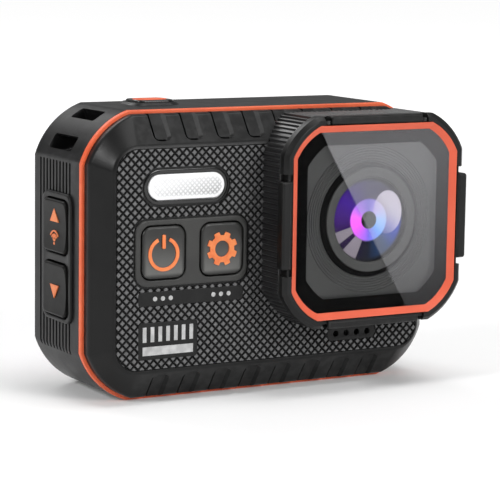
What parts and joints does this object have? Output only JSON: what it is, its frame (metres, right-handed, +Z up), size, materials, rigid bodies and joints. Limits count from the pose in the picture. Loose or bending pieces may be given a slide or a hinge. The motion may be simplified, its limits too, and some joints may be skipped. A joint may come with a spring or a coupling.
{
  "type": "action camera",
  "caption": "Compact waterproof action camera with a rear screen, orange seam rings, knurled grip panels, front and side buttons and a pull-off octagonal lens cover.",
  "frame": {"origin": "on the axis of the tripod thread, in the plane of the base", "axes": "+X to the right seen from the front, -Y the way the lens looks, +Z up"},
  "size_m": [0.0707, 0.0339, 0.0509],
  "materials": {
    "housing_black": "satin moulded plastic with a fine grain",
    "shell_black": "satin moulded plastic with a fine grain",
    "knurled_black": "diamond-knurled moulded rubberised plastic",
    "key_black": "satin plastic keys",
    "orange_trim": "smooth satin orange plastic",
    "screen_orange": "smooth satin orange plastic",
    "printed_grey": "pad-printed light grey",
    "lens_grey": "satin grey paint with turned grooves",
    "lens_glass": "coated optical glass",
    "iris_blue": "glossy, tinted by the lens coatings",
    "cover_clear": "clear polished glass with a black printed border",
    "flash_clear": "clear prismatic moulding",
    "screen_clear": "polished dark glass",
    "display": "lit display",
    "indicator_blue": "lit indicator",
    "seal_rubber": "matt black silicone",
    "door_rubber": "matt orange silicone",
    "board_green": "circuit board",
    "steel": "plain stamped steel",
    "brass": "turned brass",
    "battery_blue": "shrink-wrapped cell",
    "speaker_black": "dark speaker can"
  },
  "bodies": {
    "camera_body": {"mid_housing": "housing_black", "seam_ring": "orange_trim", "front_gasket": "seal_rubber", "front_shell": "shell_black", "front_panel": "knurled_black", "panel_marks": "printed_grey", "mic_mesh": "steel", "mic_board": "board_green", "flash_lens": "flash_clear", "flash_board": "board_green", "button_surround": "shell_black", "key_board": "board_green", "side_surround": "shell_black", "side_key_board": "board_green", "shutter_collar": "housing_black", "shutter_switch": "board_green", "lens_barrel": "shell_black", "lens_plate": "lens_grey", "lens_ring": "lens_grey", "lens_front_element": "lens_glass", "lens_iris": "iris_blue", "lens_tube": "housing_black", "sensor_board": "board_green", "back_frame": "housing_black", "back_gasket": "seal_rubber", "grip_strip": "knurled_black", "screen_ring": "screen_orange", "screen_glass": "screen_clear", "lcd_module": "display", "indicator_window": "indicator_blue", "main_board": "board_green", "battery_pack": "battery_blue", "speaker": "speaker_black", "usb_socket": "steel", "hdmi_socket": "steel", "card_slot": "steel", "port_bay": "housing_black", "door_pin": "steel", "tripod_bush": "brass", "case_screws": "steel"},
    "power_button": {"power_button": "key_black", "power_icon": "orange_trim"},
    "gear_button": {"gear_button": "key_black", "gear_icon": "orange_trim"},
    "up_key": {"up_key": "key_black", "up_mark": "orange_trim"},
    "down_key": {"down_key": "key_black", "down_mark": "orange_trim"},
    "shutter": {"shutter_button": "key_black", "shutter_inlay": "orange_trim"},
    "lens_cover": {"cover_frame": "shell_black", "cover_ring": "orange_trim", "cover_glass": "cover_clear", "cover_seal": "seal_rubber"},
    "port_door": {"side_door": "housing_black", "door_seal": "door_rubber"}
  },
  "joints": [
    {"name": "power_press", "type": "slide", "parent": "camera_body", "child": "power_button", "axis": [0, 1, 0], "range_m": [0, 0.0005], "stiffness_N_per_m": 1500, "springref_m": -0.0004},
    {"name": "gear_press", "type": "slide", "parent": "camera_body", "child": "gear_button", "axis": [0, 1, 0], "range_m": [0, 0.0005], "stiffness_N_per_m": 1500, "springref_m": -0.0004},
    {"name": "up_press", "type": "slide", "parent": "camera_body", "child": "up_key", "axis": [1, 0, 0], "range_m": [0, 0.0005], "stiffness_N_per_m": 1500, "springref_m": -0.0004},
    {"name": "down_press", "type": "slide", "parent": "camera_body", "child": "down_key", "axis": [1, 0, 0], "range_m": [0, 0.0005], "stiffness_N_per_m": 1500, "springref_m": -0.0004},
    {"name": "shutter_press", "type": "slide", "parent": "camera_body", "child": "shutter", "axis": [0, 0, -1], "range_m": [0, 0.0006], "stiffness_N_per_m": 1500, "springref_m": -0.0004},
    {"name": "cover_pull", "type": "slide", "parent": "camera_body", "child": "lens_cover", "axis": [0, -1, 0], "range_m": [0, 0.012]},
    {"name": "port_door_hinge", "type": "hinge", "parent": "camera_body", "child": "port_door", "pos_m": [0.0336, 0.007, 0.025], "axis": [0, 0, 1], "range_deg": [0, 90]}
  ]
}
